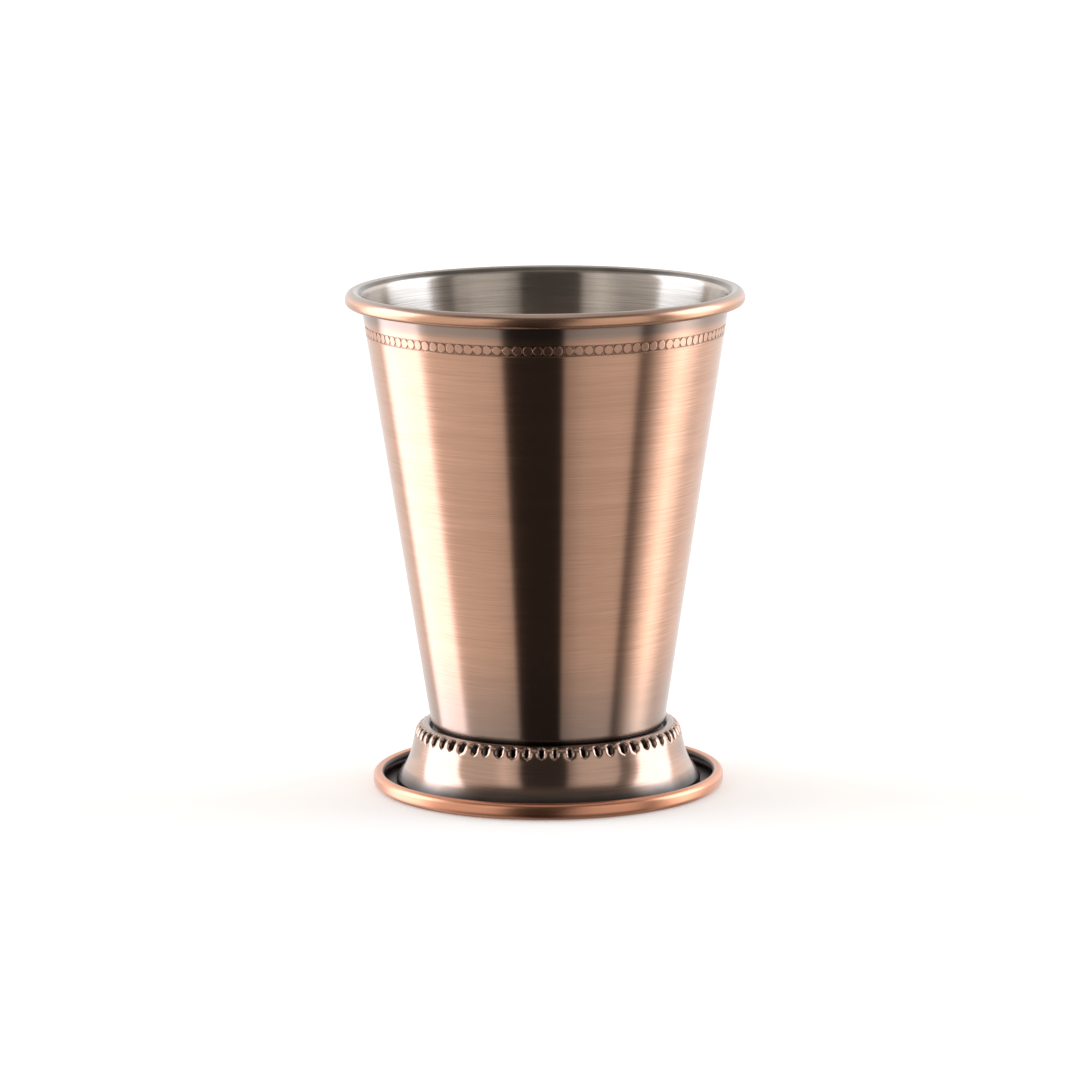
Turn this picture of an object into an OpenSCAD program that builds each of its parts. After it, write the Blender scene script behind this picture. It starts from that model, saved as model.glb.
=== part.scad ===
// Julep cup: a tapered cup of drawn sheet metal, brazed into a ribbed foot.
// Each pressing is drawn as the path of one face of its sheet, thickened
// along its normals and turned about the Z axis.
// Millimetres, +Z up, origin on the table under the middle of the cup.

/* [Cup] */
// Height of the cup by itself, from under its floor to the top of its rim
cup_h = 101.2; // [80:0.2:130]
// Diameter of the wall's outer face, carried up to the top of the rim
wall_top_d = 83.8; // [74:0.2:90]
// Diameter of the wall's outer face, carried down to the underside of the floor
wall_foot_d = 52.5; // [46:0.1:62]
// Thickness of the cup's sheet
cup_t = 0.6; // [0.5:0.05:0.8]
// Outer radius of the cup's bottom corner
corner_r = 4; // [3:0.1:6]

/* [Rim bead] */
// How far the bead stands out past the wall's outer face
rim_overhang = 3.1; // [2.8:0.05:4]
// Radius over the outer half of the bead's crest
rim_crest_r = 1.7; // [1.4:0.05:2]
// Radius under the bead, where it tucks back towards the wall
rim_tuck_r = 1.05; // [0.9:0.05:1.3]
// Height of the bead
rim_bead_h = 3.3; // [3.1:0.05:4.5]
// Open seam between the rolled lip and the wall
rim_seam = 0.3; // [0.15:0.05:0.5]

/* [Band of discs] */
// Distance from the top of the rim down to the middle of the band
band_drop = 8.6; // [7.5:0.1:20]
// Diameter of the discs that stand in the sunk band
disc_d = 2; // [1.4:0.05:2.1]
// Number of discs round the cup
disc_count = 113; // [60:1:115]
// Sunk space above and below the discs
band_margin = 0.35; // [0.2:0.05:1]
// Depth of the sunk band
band_depth = 0.12; // [0.08:0.01:0.2]

/* [Foot collar] */
// Height of the collar's shoulder above the table
foot_h = 14.5; // [13:0.1:18]
// How far the cup sinks into the collar
seat_depth = 2; // [1.5:0.1:2.6]
// Thickness of the collar's sheet
collar_t = 0.8; // [0.7:0.05:1]
// Clearance between the cup's wall line and the collar's sleeve
mouth_clear = 0.15; // [0.1:0.05:0.5]
// Radius left inside the fold, where the sleeve turns over into the mouth's lip
fold_r = 0.05; // [0.05:0.05:0.2]
// Flat width between the lip and the shoulder
land_w = 0.5; // [0.2:0.05:1.5]
// Radius of the rounded shoulder
shoulder_r = 2.2; // [1.8:0.05:2.8]
// Lean of the neck below the shoulder, in degrees
neck_deg = 12.6; // [8:0.1:15]
// Lean of the flared skirt, in degrees
flare_deg = 34.5; // [31:0.1:40]
// Radius of the hollow sweep from neck to skirt
sweep_r = 12; // [6:0.5:14]
// How far the hem stands out past the shoulder
skirt_spread = 4.4; // [3.6:0.05:6]
// Radius that turns the skirt down into the hem
hem_round = 1.3; // [1.1:0.05:1.6]
// Height of the straight hem
hem_h = 0.9; // [0.8:0.05:1.3]
// Width of the flange that carries the flat part of the cup's floor
flange_w = 1.8; // [1:0.1:4]

/* [Shoulder ribs] */
// Number of rounded ribs round the shoulder
rib_count = 58; // [30:1:64]
// Depth of the sharp valleys between the ribs
valley_depth = 0.5; // [0.3:0.05:0.6]
// Place of the valleys' middles on the shoulder's round, in degrees up from level
rib_deg = 32; // [25:1:50]

/* [Base ring] */
// Thickness of the base ring's sheet
base_t = 0.7; // [0.5:0.05:0.9]
// Height of the base ring's rolled edge
base_h = 3.8; // [3.4:0.05:5]
// Radius over the rolled edge's curl
curl_r = 1.22; // [1.1:0.02:1.5]
// Radius under the rolled edge's outer corner
base_corner_r = 1.65; // [1.4:0.05:1.9]
// Open width of the trough, from hem to curled lip
trough_w = 2.75; // [2:0.05:5]
// How far the base ring reaches in under the hem
base_reach = 3.1; // [2.5:0.1:8]

/* [Brazed joints] */
// Leg of the fillet between flange and floor
seat_fillet = 0.75; // [0.4:0.05:0.8]
// Leg of the fillet between hem and base ring
base_fillet = 0.8; // [0.4:0.05:0.8]

/* [Hidden] */
$fn = 180;

// A bend has one point for each of these degrees
bend_step = 7.5;
// Cutters run past the faces that they cut by this much
overrun = 0.5;
// Lean of the rolled lip towards the wall, in degrees
lip_rise_deg = 10;
// Width and depth of the crease between the lip and the shoulder
crease_w = 0.26;
crease_depth = 0.24;
// Share of the lip's radius by which the crease stands out from the sleeve
crease_share = 0.6;
// Share of the sleeve's height below the lip that its bottom bend takes up
heel_share = 0.7;
// Slope of a rib's side where it meets its crest, in degrees
rib_crest_deg = 8;
// Number of flats from a valley's bottom to a rib's crest
rib_flats = 3;
// Share of its leg by which a braze fillet is hollowed
fillet_hollow_share = 0.25;

// The cup's own places
floor_z = foot_h - seat_depth;
rim_top_z = floor_z + cup_h;
wall_deg = atan((wall_top_d - wall_foot_d) / 2 / cup_h);
corner_c = [wall_r(floor_z + corner_r) - corner_r / cos(wall_deg), floor_z + corner_r];
rim_r = wall_top_d / 2 + rim_overhang;
crest_x = rim_r - rim_crest_r;
inner_crest_r = (rim_overhang - rim_crest_r + cup_t / cos(wall_deg)) / (1 / cos(wall_deg) - tan(wall_deg));
tuck_c = [rim_r - rim_tuck_r, rim_top_z - rim_bead_h + rim_tuck_r];
tuck_end = tuck_c - rim_tuck_r * [sin(lip_rise_deg), cos(lip_rise_deg)];
lip_run = (tuck_end.x - wall_r(tuck_end.y) - rim_seam) / cos(lip_rise_deg);
band_z = rim_top_z - band_drop;
band_h = disc_d + 2 * band_margin;

// The collar's places
sleeve_r = wall_r(foot_h) + mouth_clear;
flange_r = corner_c.x - flange_w;
lip_r = collar_t + fold_r;
heel_r = heel_share * (seat_depth - lip_r);
lip_c =[sleeve_r + lip_r, foot_h - lip_r];
shoulder_c = [sleeve_r + lip_r + land_w, foot_h - shoulder_r];
hem_r = shoulder_c.x + shoulder_r + skirt_spread;
hem_c = [hem_r - hem_round, base_t + hem_h];
neck_start = shoulder_c + shoulder_r * [cos(neck_deg), sin(neck_deg)];
skirt_end = hem_c + hem_round * [cos(flare_deg), sin(flare_deg)];
sweep_knee = lean_crossing(neck_start, neck_deg, skirt_end, flare_deg);
sweep_c = sweep_knee + sweep_r / cos((flare_deg - neck_deg) / 2)
    * [cos((flare_deg + neck_deg) / 2), sin((flare_deg + neck_deg) / 2)];

// The ribs, each a part of a round bar that is as wide as the pitch and lies down the shoulder.
// A rib's crest keeps to the shoulder, which falls away by rib_drop from one valley to the next crest.
rib_place = shoulder_c + shoulder_r * [cos(rib_deg), sin(rib_deg)];
half_pitch = rib_place.x * sin(180 / rib_count);
rib_drop = rib_place.x * (1 - cos(180 / rib_count));
rib_side_deg = 2 * atan((valley_depth - rib_drop) / half_pitch);
rib_r = half_pitch / sin(rib_side_deg);

// The base ring's places
base_r = hem_r + trough_w + 2 * curl_r;
base_in_r = hem_r - base_reach;
base_corner_c = [base_r - base_corner_r, base_corner_r];
curl_c = [base_r - curl_r, base_h - curl_r];

// Radius of the cup wall's outer face at a height
function wall_r(z) = wall_foot_d / 2 + (z - floor_z) * tan(wall_deg);

// Where a line down from one point meets a line up from another, each at its own lean
function lean_crossing(top, top_deg, bottom, bottom_deg) =
    let (drop = (bottom.x - top.x - (top.y - bottom.y) * tan(bottom_deg)) / (tan(top_deg) - tan(bottom_deg)))
    [top.x + drop * tan(top_deg), top.y - drop];

// Points on a bend, each with the direction of the face's normal.
// A round bend faces away from its centre, and a hollow one faces it.
function turn(c, r, from, to, face) =
    let (steps = ceil(abs(to - from) / bend_step))
    [for (i = [0 : steps]) let (a = from + (to - from) * i / steps) [c.x + r * cos(a), c.y + r * sin(a), a + face]];
function round_bend(c, r, from, to) = turn(c, r, from, to, 0);
function hollow_bend(c, r, from, to) = turn(c, r, from, to, 180);

// A face's path, and the same path moved through the sheet's thickness
function face_points(path) = [for (p = path) [p.x, p.y]];
function back_points(path, t) = [for (p = path) [p.x - t * cos(p.z), p.y - t * sin(p.z)]];
function reversed(list) = [for (i = [len(list) - 1 : -1 : 0]) list[i]];

// A sheet of thickness t behind a face, turned about the Z axis
module turned_sheet(path, t) {
    rotate_extrude()
        polygon(concat(face_points(path), reversed(back_points(path, t))));
}

// The outer face of the cup: floor, corner, wall, then the inside of the rolled rim
function cup_path() = concat(
    [[0, floor_z, -90]],
    round_bend(corner_c, corner_r, -90, -wall_deg),
    hollow_bend([crest_x, rim_top_z - inner_crest_r], inner_crest_r - cup_t, 180 - wall_deg, 90),
    hollow_bend([crest_x, rim_top_z - rim_crest_r], rim_crest_r - cup_t, 90, 0),
    hollow_bend(tuck_c, rim_tuck_r - cup_t, 0, -90 - lip_rise_deg),
    [[
        tuck_end.x + cup_t * sin(lip_rise_deg) - lip_run * cos(lip_rise_deg),
        tuck_end.y + cup_t * cos(lip_rise_deg) + lip_run * sin(lip_rise_deg),
        90 - lip_rise_deg
    ]]
);

// A rod square to the wall that stands through the band's face
module disc_rod() {
    translate([wall_r(band_z), 0, band_z])
        rotate([0, 90 + wall_deg, 0])
            cylinder(h = 4 * overrun, d = disc_d, center = true);
}

// What is sunk into the wall: the whole band apart from its discs
module band_cut() {
    difference() {
        rotate_extrude()
            translate([wall_r(band_z), band_z])
                rotate(-wall_deg)
                    translate([-band_depth, -band_h / 2])
                        square([band_depth + overrun, band_h]);
        for (i = [1 : disc_count])
            rotate([0, 0, i * 360 / disc_count])
                disc_rod();
    }
}

module cup_body() {
    color("rosybrown")
        difference() {
            turned_sheet(cup_path(), cup_t);
            band_cut();
        }
}

// The upper and outer face of the collar, from under the cup to the hem
function collar_path() = concat(
    [[flange_r, floor_z, 90]],
    hollow_bend([sleeve_r - heel_r, floor_z + heel_r], heel_r, -90, 0),
    round_bend(lip_c, lip_r, 180, 90),
    round_bend(shoulder_c, shoulder_r, 90, neck_deg),
    hollow_bend(sweep_c, sweep_r, 180 + neck_deg, 180 + flare_deg),
    round_bend(hem_c, hem_round, flare_deg, 0),
    [[hem_r, base_t, 0]]
);

// One side of a valley, from its bottom up the flank of the rib, with X out of the shoulder
function valley_side(side) =
    let (
        flank = [for (i = [0 : rib_flats])
            let (a = rib_side_deg + (rib_crest_deg - rib_side_deg) * i / rib_flats)
            [-rib_drop - rib_r * (1 - cos(a)), side * (half_pitch - rib_r * sin(a))]],
        crest_run = rib_r * sin(rib_crest_deg)
    )
    concat(flank, [
        [flank[rib_flats].x + crest_run * tan(rib_crest_deg), side * half_pitch],
        [overrun, side * half_pitch]
    ]);

module valley_cut() {
    translate([rib_place.x, 0, rib_place.y])
        rotate([0, -rib_deg, 0])
            linear_extrude(2 * shoulder_r, center = true)
                polygon(concat(valley_side(1), reversed(valley_side(-1))));
}

module crease_cut() {
    rotate_extrude()
        translate([sleeve_r + crease_share * lip_r - crease_w / 2, foot_h - crease_depth])
            square([crease_w, crease_depth + overrun]);
}

module foot_collar() {
    color("sienna")
        difference() {
            turned_sheet(collar_path(), collar_t);
            for (i = [1 : rib_count])
                rotate([0, 0, i * 360 / rib_count])
                    valley_cut();
            crease_cut();
        }
}

// The under and outer face of the base ring, from under the skirt to the curled lip
function base_path() = concat(
    [[base_in_r, 0, -90]],
    round_bend(base_corner_c, base_corner_r, -90, 0),
    round_bend(curl_c, curl_r, 0, 180)
);

module base_ring() {
    color("peru")
        turned_sheet(base_path(), base_t);
}

// A ring with a hollowed face across the corner at [x, z]; its legs run along -X and the given Z side
module braze_ring(x, z, leg, side) {
    belly = fillet_hollow_share * leg;
    rotate_extrude()
        polygon([[x, z], [x - leg, z], [x - belly, z + side * belly], [x, z + side * leg]]);
}

module seat_braze() {
    color("goldenrod")
        braze_ring(flange_r, floor_z, seat_fillet, -1);
}

module base_braze() {
    color("goldenrod")
        braze_ring(hem_r - collar_t, base_t, base_fillet, 1);
}

cup_body();
foot_collar();
base_ring();
seat_braze();
base_braze();
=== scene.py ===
import math
import random

import bmesh
import bpy
from mathutils import Matrix, Vector


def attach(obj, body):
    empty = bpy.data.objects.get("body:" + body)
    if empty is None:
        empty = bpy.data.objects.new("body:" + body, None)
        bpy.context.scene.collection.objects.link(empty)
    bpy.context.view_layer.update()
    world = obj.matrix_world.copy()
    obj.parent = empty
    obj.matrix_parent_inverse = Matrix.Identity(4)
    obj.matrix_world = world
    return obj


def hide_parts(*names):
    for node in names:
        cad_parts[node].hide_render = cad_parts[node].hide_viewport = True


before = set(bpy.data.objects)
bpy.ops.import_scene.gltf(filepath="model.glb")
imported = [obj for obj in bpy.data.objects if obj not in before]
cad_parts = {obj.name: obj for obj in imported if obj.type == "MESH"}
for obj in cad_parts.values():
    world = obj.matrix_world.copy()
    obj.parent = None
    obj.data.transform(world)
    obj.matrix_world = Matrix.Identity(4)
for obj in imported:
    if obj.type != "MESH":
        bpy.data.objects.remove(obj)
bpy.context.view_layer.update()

# Lengths below are in millimetres, as in the part's source, and become metres as they go into a mesh.
MM = 0.001

# The cup
CUP_H = 101.2
WALL_TOP_R = 41.9
WALL_FOOT_R = 26.25
CUP_T = 0.6
CORNER_R = 4.0

# The rim bead
RIM_OVERHANG = 3.1
RIM_CREST_R = 1.7
RIM_TUCK_R = 1.05
RIM_BEAD_H = 3.3
RIM_SEAM = 0.3
LIP_RISE_DEG = 10.0
# How far in from the middle of the crest the painted shade of its top begins
INNER_CREST_SHARE = 0.1

# The band of discs
BAND_DROP = 8.6
DISC_R = 1.0
DISC_COUNT = 113
BAND_LOW = 1.24
BAND_HIGH = 1.18
BAND_DEPTH = 0.12
BAND_STEP_W = 0.07
# How far under the band its edge carries a painted highlight, and how far the wall's last ring stays under
# the crest
BAND_SHINE_W = 0.21
CREST_MARGIN = 0.14

# The foot collar
FOOT_H = 14.5
SEAT_DEPTH = 2.0
COLLAR_T = 0.8
MOUTH_CLEAR = 0.15
FOLD_R = 0.05
LAND_W = 0.5
SHOULDER_R = 2.2
NECK_DEG = 12.6
FLARE_DEG = 34.5
SWEEP_R = 12.0
SKIRT_SPREAD = 4.4
HEM_ROUND = 1.3
HEM_H = 0.9
FLANGE_W = 1.8
CREASE_W = 0.26
CREASE_DEPTH = 0.24
CREASE_SHARE = 0.6
HEEL_SHARE = 0.7

# The shoulder ribs
RIB_COUNT = 58
VALLEY_DEPTH = 1.0
RIB_TOP_DEG = 72.0
RIB_LENGTH = 3.15
RIB_ROUNDNESS = 2.3
RIB_END_POWER = 4.0
RIB_END_SOFT_SHARE = 0.08
RIB_POINT_SHARE = 0.55
# Where a valley gains its depth at its upper end, with -1 at its top and 1 at its foot
RIB_TOP_RISE = (-1.4, -0.7)
# The fine groove along the valleys' upper ends
RIB_GROOVE_DEPTH = 0.09
RIB_GROOVE_HALF = 0.5

# The base ring
BASE_T = 0.7
BASE_H = 3.8
CURL_R = 1.22
BASE_CORNER_R = 1.65
TROUGH_W = 2.75
BASE_REACH = 3.1

# How finely the meshes are drawn: the steps of a bend in degrees, and how many rings, rows and columns
BEND_STEP = 7.5
HIDDEN_BEND_STEP = 15.0
FINE_STEP = 4.0
HIDDEN_FINE_STEP = 8.0
CREASED_LIP_STEP = 8.0
PLAIN_LIP_STEP = 12.0
HEEL_STEP = 16.0
CELL_COLUMNS = 6
CELL_ROWS = 7
RIB_COLUMNS = 14
BASE_COLUMNS = 360
NECK_RINGS = 14
HIDDEN_NECK_RINGS = 7
WALL_RINGS = 10

# From which angle an edge is sharp, and the length under which there is none
SHARP_DEG = 48.0
TINY = 1e-6

# Where the random draws of the discs and of the ribs start
BAND_SEED = 7
RIB_SEED = 11

# The patina, wear, painted shade and painted highlight values that every vertex holds
PATINA_AND_PAINTED_LIGHT = ("recess", "grey", "worn_and_shine")

# The cup's own places
FLOOR_Z = FOOT_H - SEAT_DEPTH
RIM_TOP_Z = FLOOR_Z + CUP_H
WALL_SLOPE = (WALL_TOP_R - WALL_FOOT_R) / CUP_H
WALL_RAD = math.atan(WALL_SLOPE)
WALL_DEG = math.degrees(WALL_RAD)
BAND_Z = RIM_TOP_Z - BAND_DROP
BAND_FLOOR_LOW = -BAND_LOW + BAND_STEP_W
BAND_FLOOR_HIGH = BAND_HIGH - BAND_STEP_W


def wall_r(z):
    """Radius of the cup wall's outer face at a height."""
    return WALL_FOOT_R + (z - FLOOR_Z) * WALL_SLOPE


CORNER_C = (wall_r(FLOOR_Z + CORNER_R) - CORNER_R / math.cos(WALL_RAD), FLOOR_Z + CORNER_R)
RIM_R = WALL_TOP_R + RIM_OVERHANG
CREST_X = RIM_R - RIM_CREST_R
INNER_CREST_R = (RIM_OVERHANG - RIM_CREST_R + CUP_T / math.cos(WALL_RAD)) / (
    1 / math.cos(WALL_RAD) - WALL_SLOPE)
TUCK_C = (RIM_R - RIM_TUCK_R, RIM_TOP_Z - RIM_BEAD_H + RIM_TUCK_R)
INNER_CREST_END = CREST_X - INNER_CREST_SHARE * RIM_CREST_R
LIP_RAD = math.radians(LIP_RISE_DEG)
TUCK_END = (TUCK_C[0] - RIM_TUCK_R * math.sin(LIP_RAD), TUCK_C[1] - RIM_TUCK_R * math.cos(LIP_RAD))
LIP_RUN = (TUCK_END[0] - wall_r(TUCK_END[1]) - RIM_SEAM) / math.cos(LIP_RAD)

# The collar's places
SLEEVE_R = wall_r(FOOT_H) + MOUTH_CLEAR
FLANGE_R = CORNER_C[0] - FLANGE_W
LIP_R = COLLAR_T + FOLD_R
HEEL_R = HEEL_SHARE * (SEAT_DEPTH - LIP_R)
LIP_C = (SLEEVE_R + LIP_R, FOOT_H - LIP_R)
CREASE_X = SLEEVE_R + CREASE_SHARE * LIP_R
SHOULDER_C = (SLEEVE_R + LIP_R + LAND_W, FOOT_H - SHOULDER_R)
HEM_R = SHOULDER_C[0] + SHOULDER_R + SKIRT_SPREAD
HEM_C = (HEM_R - HEM_ROUND, BASE_T + HEM_H)

# The base ring's places
BASE_R = HEM_R + TROUGH_W + 2 * CURL_R
BASE_IN_R = HEM_R - BASE_REACH
BASE_CORNER_C = (BASE_R - BASE_CORNER_R, BASE_CORNER_R)
CURL_C = (BASE_R - CURL_R, BASE_H - CURL_R)


def polar(centre, radius, degrees):
    """The point at a direction from a centre, in the radius and height plane."""
    angle = math.radians(degrees)
    return centre[0] + radius * math.cos(angle), centre[1] + radius * math.sin(angle)


def turn(centre, radius, start, end, face, step):
    """Points on a bend, each with the direction of the face's normal in degrees."""
    steps = math.ceil(abs(end - start) / step)
    turns = [start + (end - start) * i / steps for i in range(steps + 1)]
    return [(*polar(centre, radius, a), a + face) for a in turns]


def round_bend(centre, radius, start, end, step=BEND_STEP):
    """A bend whose face looks away from its centre."""
    return turn(centre, radius, start, end, 0, step)


def hollow_bend(centre, radius, start, end, step=BEND_STEP):
    """A bend whose face looks towards its centre."""
    return turn(centre, radius, start, end, 180, step)


def back_of(path, thickness):
    """The other face of the sheet."""
    return [(r - thickness * math.cos(math.radians(a)), z - thickness * math.sin(math.radians(a)))
            for r, z, a in path]


def face_of(path):
    """The face that a path draws, without its normals."""
    return [(r, z) for r, z, _ in path]


def lean_crossing(top, top_deg, bottom, bottom_deg):
    """Where a line down from one point meets a line up from another, each at its own lean."""
    top_lean = math.tan(math.radians(top_deg))
    bottom_lean = math.tan(math.radians(bottom_deg))
    drop = (bottom[0] - top[0] - (top[1] - bottom[1]) * bottom_lean) / (top_lean - bottom_lean)
    return top[0] + drop * top_lean, top[1] - drop


def on_wall(along, out):
    """The point at a distance up the wall from the band's middle and out from its face."""
    r = wall_r(BAND_Z) + along * math.sin(WALL_RAD) + out * math.cos(WALL_RAD)
    return r, BAND_Z + along * math.cos(WALL_RAD) - out * math.sin(WALL_RAD)


def ring_of(bm, r, z, columns, shift=0.0):
    """A ring of vertices round the Z axis, or one vertex on the axis."""
    if abs(r) < TINY:
        return [bm.verts.new((0, 0, z * MM))]
    ring = []
    for i in range(columns):
        a = 2 * math.pi * (i + shift) / columns
        ring.append(bm.verts.new((r * MM * math.cos(a), r * MM * math.sin(a), z * MM)))
    return ring


def join_rings(bm, lower, upper, slot=0):
    """Faces between two neighbouring rings, with a fan where one of them is a point."""
    count = max(len(lower), len(upper))
    for i in range(count):
        j = (i + 1) % count
        if len(lower) == 1:
            corners = (lower[0], upper[j], upper[i])
        elif len(upper) == 1:
            corners = (lower[i], lower[j], upper[0])
        else:
            corners = (lower[i], lower[j], upper[j], upper[i])
        bm.faces.new(corners).material_index = slot


def patina_and_painted_light_mesh():
    """An empty mesh whose vertices can hold the patina, wear, painted shade and painted highlight values."""
    bm = bmesh.new()
    for label in PATINA_AND_PAINTED_LIGHT:
        bm.verts.layers.float.new(label)
    return bm


def finished(bm, name, materials, recess, grey):
    """Makes the object, with its shading, its materials and its patina and painted shade values at every
    vertex.
    """
    bmesh.ops.recalc_face_normals(bm, faces=bm.faces)
    for label, value_at in (("recess", recess), ("grey", grey)):
        layer = bm.verts.layers.float[label]
        for vertex in bm.verts:
            x, y, z = vertex.co / MM
            vertex[layer] = max(vertex[layer], value_at(math.hypot(x, y), z))
    mesh = bpy.data.meshes.new(name)
    bm.to_mesh(mesh)
    bm.free()
    mesh.shade_smooth()
    mesh.set_sharp_from_angle(angle=math.radians(SHARP_DEG))
    for material in materials:
        mesh.materials.append(material)
    piece = bpy.data.objects.new(name, mesh)
    bpy.context.scene.collection.objects.link(piece)
    return piece


def nothing(r, z):
    """For patina and painted shade that a piece has nowhere."""
    return 0


def ramp(value, low, high):
    """From 0 at low to 1 at high, eased at both ends."""
    t = min(max((value - low) / (high - low), 0), 1)
    return t * t * (3 - 2 * t)


# Cup body

# How far in from a disc's edge its face has risen to each height, and how tarnished and worn it is there
DISC_EDGE = [(0.0, -BAND_DEPTH, 0.85, 0.0), (0.02, -0.06, 0.5, 0.1), (0.045, -0.022, 0.0, 1.0),
             (0.09, -0.005, 0.0, 0.9), (0.15, 0.0, 0.0, 0.5)]
# The same for its face, half way in and in its middle
DISC_FACE = (0.5, -0.003, 0.0, 0.5)
DISC_HUB = (-0.005, 0.0, 0.5)
# How far a disc may stand from its place, how much its size may differ, and the waves in its outline
DISC_SHIFT = 0.03
DISC_GROWTH_SHARE = 0.025
DISC_WAVE_SHARES = ((2, 0.022), (3, 0.016), (5, 0.012))
DISC_SPAN_SHARE = 1.07
DISC_LIMIT_SHARE = 0.98
# How many discs run into the next one, and how far up and down from the band's middle
MERGE_SHARE = 0.2
MERGE_HALF = 0.5
GROUND_TARNISH_SHARE = 0.5


def cell_point(bm, cell_angle, across, along, out, tarnish, wear=0.0):
    """A vertex in a disc's cell, across and along the band from its middle and out from the wall."""
    r, z = on_wall(along, out)
    a = cell_angle + across / wall_r(BAND_Z)
    vertex = bm.verts.new((r * MM * math.cos(a), r * MM * math.sin(a), z * MM))
    vertex[bm.verts.layers.float["recess"]] = tarnish
    vertex[bm.verts.layers.float["worn_and_shine"]] = wear
    return vertex


def merge_at(strength, along):
    """How much two neighbouring discs run together at a height beside them."""
    return strength * max(0, 1 - (along / MERGE_HALF) ** 2)


def disc_spokes(centre, places, merges, chance):
    """For each place round a cell: its direction, the disc's reach, the cell's and how far they merge."""
    size = DISC_R * DISC_SPAN_SHARE * (1 + chance.gauss(0, DISC_GROWTH_SHARE))
    waves = [(k, chance.gauss(0, swing), chance.uniform(0, 2 * math.pi)) for k, swing in DISC_WAVE_SHARES]
    spokes = []
    for (across, along), merged in zip(places, merges):
        a = math.atan2(along - centre[1], across - centre[0])
        reach = size * (1 + sum(swing * math.cos(k * a + start) for k, swing, start in waves))
        limit = math.hypot(across - centre[0], along - centre[1])
        reach = min(reach, limit * (DISC_LIMIT_SHARE + (1 - DISC_LIMIT_SHARE) * merged))
        reach += (limit - reach) * merged
        spokes.append((a, reach, limit, merged))
    return spokes


def disc_ring(bm, cell_angle, centre, ends, level, tarnish, wear=0.0):
    """A ring of a disc's vertices: each end has a direction, a reach and how much is left of the rest."""
    return [cell_point(bm, cell_angle, centre[0] + reach * math.cos(a), centre[1] + reach * math.sin(a),
                       level * left, tarnish * left, wear * left) for a, reach, left in ends]


def disc_cell(bm, cell_angle, loop, places, merges, chance):
    """One raised disc inside the loop of vertices round its cell."""
    centre = (chance.gauss(0, DISC_SHIFT), chance.gauss(0, DISC_SHIFT))
    spokes = disc_spokes(centre, places, merges, chance)
    ends = [(a, (reach + limit) / 2, 1 - merged) for a, reach, limit, merged in spokes]
    rings = [loop, disc_ring(bm, cell_angle, centre, ends, -BAND_DEPTH, GROUND_TARNISH_SHARE)]
    for inset, *height_and_patina in DISC_EDGE:
        ends = [(a, reach - inset, 1 - merged) for a, reach, _, merged in spokes]
        rings.append(disc_ring(bm, cell_angle, centre, ends, *height_and_patina))
    inset, *height_and_patina = DISC_FACE
    ends = [(a, reach - inset, 1) for a, reach, _, _ in spokes]
    rings.append(disc_ring(bm, cell_angle, centre, ends, *height_and_patina))
    for outer, inner in zip(rings, rings[1:]):
        join_rings(bm, outer, inner)
    join_rings(bm, rings[-1], [cell_point(bm, cell_angle, *centre, *DISC_HUB)])


def band_sides(bm, pitch_rad, half_pitch, levels, merged):
    """The upright side between each disc's cell and the one before it."""
    sides = []
    for i, strength in enumerate(merged):
        left = [1 - merge_at(strength, along) for along in levels]
        sides.append([cell_point(bm, i * pitch_rad, -half_pitch, along, -BAND_DEPTH * share,
                                 GROUND_TARNISH_SHARE * share) for along, share in zip(levels, left)])
    return sides


def disc_band(bm, lower, upper, chance):
    """Fills the sunk band between two rings with discs side by side."""
    low, high = BAND_FLOOR_LOW, BAND_FLOOR_HIGH
    pitch_rad = 2 * math.pi / DISC_COUNT
    half_pitch = pitch_rad / 2 * wall_r(BAND_Z)
    levels = [low + (high - low) * k / CELL_ROWS for k in range(1, CELL_ROWS)]
    steps = [2 * half_pitch * k / CELL_COLUMNS - half_pitch for k in range(CELL_COLUMNS + 1)]
    merged = [1 if chance.random() < MERGE_SHARE else 0 for _ in range(DISC_COUNT)]
    sides = band_sides(bm, pitch_rad, half_pitch, levels, merged)
    places = [(across, low) for across in steps] + [(half_pitch, along) for along in levels]
    places += [(across, high) for across in reversed(steps)]
    places += [(-half_pitch, along) for along in reversed(levels)]
    for i in range(DISC_COUNT):
        after = (i + 1) % DISC_COUNT
        picks = [(i * CELL_COLUMNS + k) % len(lower) for k in range(CELL_COLUMNS + 1)]
        loop = [lower[k] for k in picks] + sides[after]
        loop += [upper[k] for k in reversed(picks)] + list(reversed(sides[i]))
        merges = [0] * len(steps) + [merge_at(merged[after], along) for along in levels]
        merges += [0] * len(steps) + [merge_at(merged[i], along) for along in reversed(levels)]
        disc_cell(bm, i * pitch_rad, loop, places, merges, chance)


# The cup's patina and painted shade: shares say how strong it is, or how far it reaches along the length
# they multiply
TUCK_SHADE_SHARE = 0.9
TUCK_REACH_SHARE = 0.5
STEP_STAIN_SHARES = (0.2, 0.8)
SEAT_REACH_SHARE = 0.2
SHADE_TARNISH_SHARE = 0.6
SHADE_DROP_SHARE = 1.3
CREST_GREY_SHARE = 0.9
CREST_DROP_SHARES = (0.8, 0.1)
HIGH_GREY_DROP_SHARE = 1.5
GREY_FOOT_H = 25.0
LOW_GREY_SHARE = 0.2
FADING_GREY_SHARE = 0.8


def out_of_wall(r, z):
    """How far a point lies out from the wall's outer face."""
    return (r - wall_r(z)) * math.cos(WALL_RAD)


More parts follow.
